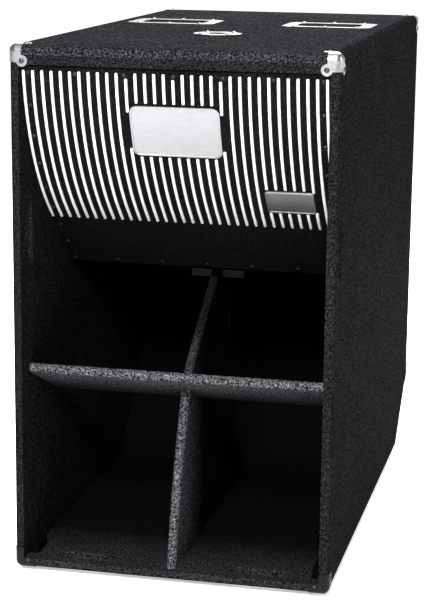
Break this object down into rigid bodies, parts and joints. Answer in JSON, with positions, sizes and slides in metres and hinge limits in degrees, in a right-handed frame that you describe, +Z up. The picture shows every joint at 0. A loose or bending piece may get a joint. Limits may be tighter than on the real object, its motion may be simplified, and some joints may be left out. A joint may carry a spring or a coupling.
{
  "type": "subwoofer cabinet",
  "caption": "Tall folded-horn subwoofer cabinet with a curved ribbed cover, horn mouth with vane and divider, inner driver, recessed handles and tilt-back wheels.",
  "frame": {"origin": "on the floor, under the middle of the cabinet's box", "axes": "+X to the cabinet's right seen from the front, +Y to its back, +Z up"},
  "size_m": [0.6174, 1.1574, 1.0152],
  "materials": {
    "black_wood": "black textured paint on plywood",
    "bare_wood": "unpainted plywood and battens inside",
    "cover_black": "fine satin black",
    "rib_white": "white enamel",
    "plate_silver": "blank satin plate",
    "cap_steel": "polished pressed steel",
    "black_steel": "black powder coat",
    "zinc_steel": "bright zinc",
    "screw_black": "black oxide",
    "grip_rubber": "ribbed rubber",
    "foot_rubber": "moulded rubber",
    "gasket_foam": "closed-cell foam",
    "felt": "grey felt",
    "frame_cast": "cast, black satin coat",
    "cone_paper": "pressed paper pulp",
    "surround_cloth": "treated cloth",
    "spider_cloth": "resin-dipped cotton",
    "coil_copper": "copper winding on its former",
    "magnet_ferrite": "sintered ferrite",
    "plate_iron": "zinc-plated iron",
    "terminal_plastic": "moulded terminal block",
    "socket_blue": "moulded connector",
    "wheel_plastic": "glass-filled nylon",
    "cable_jacket": "black jacket"
  },
  "bodies": {
    "cabinet": {"side_panel_right": "black_wood", "side_panel_left": "black_wood", "top_panel": "black_wood", "bottom_panel": "black_wood", "rear_panel": "black_wood", "rear_chamfer_panel": "black_wood", "header_rail": "black_wood", "front_cover": "cover_black", "cover_screws": "screw_black", "cover_gasket": "gasket_foam", "cover_battens": "bare_wood", "cover_ribs": "rib_white", "badge_plate": "plate_silver", "tag_plate": "plate_silver", "mouth_vane": "black_wood", "mouth_divider": "black_wood", "corner_cleats": "black_wood", "divider_brackets": "black_steel", "driver_baffle": "black_wood", "chamber_floor": "black_wood", "foot_battens": "black_wood", "throat_brace": "black_wood", "rear_ramp": "black_wood", "throat_board": "black_wood", "chamber_lining": "felt", "driver_frame": "frame_cast", "driver_gasket": "gasket_foam", "driver_surround": "surround_cloth", "driver_spider": "spider_cloth", "driver_top_plate": "plate_iron", "driver_magnet": "magnet_ferrite", "driver_back_plate": "plate_iron", "driver_terminals": "terminal_plastic", "driver_bolts": "screw_black", "corner_caps_top": "cap_steel", "corner_caps_bottom": "cap_steel", "corner_cap_screws": "screw_black", "handle_cup_left": "black_steel", "handle_cup_right": "black_steel", "handle_grips": "grip_rubber", "top_screws": "zinc_steel", "pole_socket": "black_steel", "input_plate": "black_steel", "input_sockets": "socket_blue", "input_screws": "screw_black", "rubber_feet": "foot_rubber", "foot_screws": "zinc_steel", "wheel_brackets": "zinc_steel", "wheel_screws": "screw_black", "wheel_axles": "zinc_steel", "speaker_cable": "cable_jacket"},
    "cone": {"driver_cone": "cone_paper", "driver_dust_cap": "cone_paper", "driver_voice_coil": "coil_copper"},
    "wheel_left": {"wheel_hub_left": "wheel_plastic", "wheel_tyre_left": "foot_rubber"},
    "wheel_right": {"wheel_hub_right": "wheel_plastic", "wheel_tyre_right": "foot_rubber"}
  },
  "joints": [
    {"name": "cone_travel", "type": "slide", "parent": "cabinet", "child": "cone", "axis": [0, 0.8796, -0.4756], "range_m": [-0.012, 0.012], "stiffness_N_per_m": 12000, "deforming": ["driver_surround", "driver_spider"]},
    {"name": "wheel_left_spin", "type": "hinge", "parent": "cabinet", "child": "wheel_left", "pos_m": [-0.2, 0.533, 0.054], "axis": [1, 0, 0], "continuous": true},
    {"name": "wheel_right_spin", "type": "hinge", "parent": "cabinet", "child": "wheel_right", "pos_m": [0.2, 0.533, 0.054], "axis": [1, 0, 0], "continuous": true}
  ]
}
